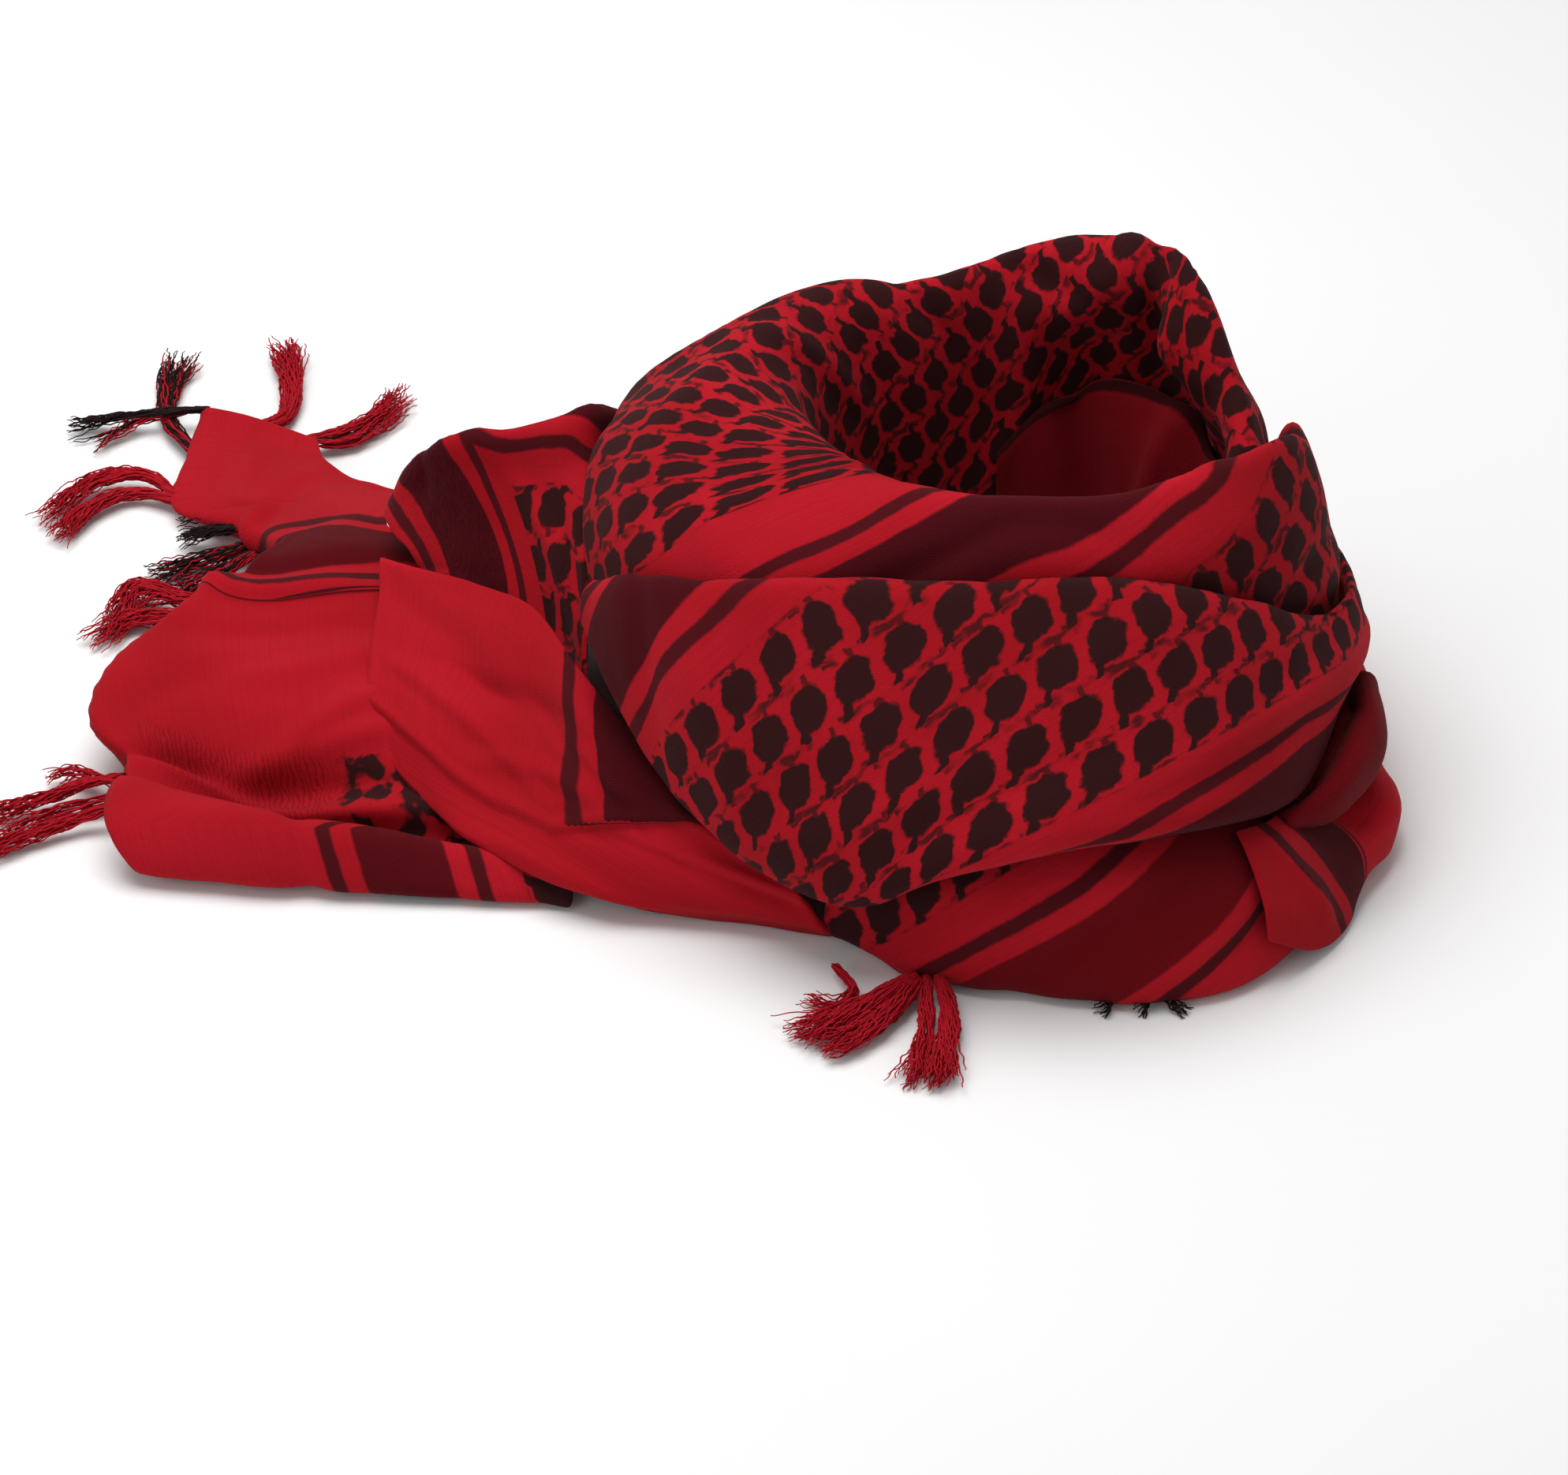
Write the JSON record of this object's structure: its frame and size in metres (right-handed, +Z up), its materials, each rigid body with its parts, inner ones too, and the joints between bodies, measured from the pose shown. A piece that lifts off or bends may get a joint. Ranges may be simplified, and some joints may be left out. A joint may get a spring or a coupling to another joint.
{
  "type": "keffiyeh headscarf",
  "caption": "Square woven cotton headscarf with check and stripe pattern, wound into a neck loop, its tasselled ends lying to one side",
  "frame": {"origin": "middle of the scarf's footprint, on the table", "axes": "+X from the two ends towards the neck loop, +Y from the front folds to the back, +Z up"},
  "size_m": [0.616, 0.545, 0.1998],
  "materials": {
    "red_weave": "matte plain-woven cotton, crimson",
    "checked_weave": "matte cotton woven with rows of near-black knots and dark stripes on crimson",
    "buried_weave": "layers of the same cloth lying out of sight",
    "red_fringe": "loose twisted crimson cotton threads",
    "dark_fringe": "loose twisted black and crimson cotton threads"
  },
  "bodies": {
    "root": {"upper_wrap": "checked_weave", "front_wrap": "checked_weave", "inner_wrap": "red_weave", "foot_wrap": "red_weave", "right_loop": "red_weave", "right_roll": "red_weave", "back_wrap": "red_weave", "left_wrap": "checked_weave", "front_end": "red_weave", "left_end": "red_weave", "loop_core": "buried_weave", "ends_core": "buried_weave", "tassel_corner": "dark_fringe", "tassel_edge": "dark_fringe", "tassel_hook": "red_fringe", "tassel_stray": "red_fringe", "tassel_double": "red_fringe", "tassel_dark": "dark_fringe", "tassel_looped": "red_fringe", "tassel_left": "red_fringe", "tassel_front_left": "red_fringe", "tassel_front_right": "red_fringe"}
  },
  "joints": []
}
